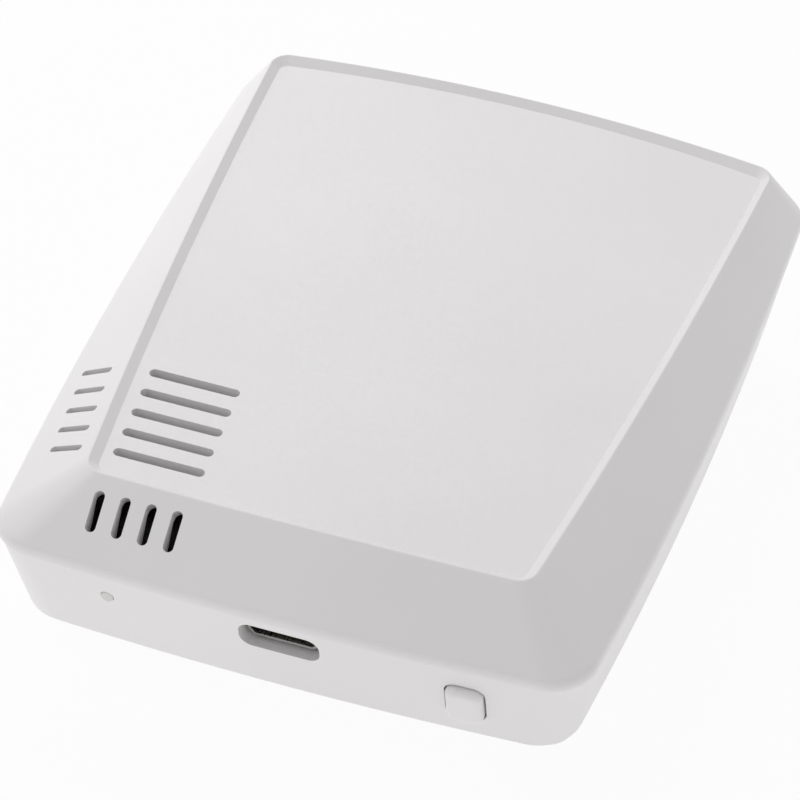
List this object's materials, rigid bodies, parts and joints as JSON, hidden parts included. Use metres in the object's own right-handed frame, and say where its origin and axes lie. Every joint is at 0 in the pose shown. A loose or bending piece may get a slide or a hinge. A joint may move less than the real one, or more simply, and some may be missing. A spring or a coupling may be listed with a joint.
{
  "type": "temperature and humidity data logger",
  "caption": "Flat white wall-type climate logger: bevelled housing with a shallow panel, corner vent slots, a small data port, a status light, a key and a sliding battery door.",
  "frame": {"origin": "under the middle of the base, on the surface that the logger lies on", "axes": "+X along the port end to the key's side, +Y from the port end to the rear end, +Z out of the panel"},
  "size_m": [0.064, 0.076, 0.022],
  "materials": {
    "housing": "fine moulded texture, satin",
    "light": "clear moulded rod",
    "board": "dark green solder mask",
    "tin": "tinned or nickelled sheet",
    "black_plastic": "black moulding compound",
    "gold": "gold-flashed contact",
    "ceramic": "sintered ceramic and ferrite",
    "lamp": "diffusing cap",
    "sensor": "white moulded package",
    "cell": "plain printed sleeve on a steel can",
    "screw": "zinc plated"
  },
  "bodies": {
    "root": {"front_cover": "housing", "rear_shell": "housing", "light_pipe": "light", "main_board": "board", "radio_board": "board", "sensor_board": "board", "usb_shell": "tin", "radio_shield": "tin", "clock_crystal": "tin", "contact_front_left": "tin", "contact_front_right": "tin", "contact_rear_middle": "tin", "contact_rear_left": "tin", "contact_rear_right": "tin", "usb_insulator": "black_plastic", "controller_chip": "black_plastic", "memory_chip": "black_plastic", "switch_body": "black_plastic", "sensor_header": "black_plastic", "usb_pins": "gold", "chip_capacitors": "ceramic", "power_inductor": "ceramic", "status_led": "lamp", "humidity_sensor": "sensor", "battery_cell_1": "cell", "battery_cell_2": "cell", "battery_cell_3": "cell", "battery_cell_4": "cell", "cover_screws": "screw", "board_screws": "screw"},
    "door": {"battery_door": "housing"},
    "key": {"wake_key": "housing", "switch_plunger": "black_plastic"}
  },
  "joints": [
    {"name": "door_slide", "type": "slide", "parent": "root", "child": "door", "axis": [0, -1, 0], "range_m": [0, 0.055]},
    {"name": "key_press", "type": "slide", "parent": "root", "child": "key", "axis": [-0.039, 0.9818, 0.1857], "range_m": [0, 0.0005], "stiffness_N_per_m": 1500}
  ]
}
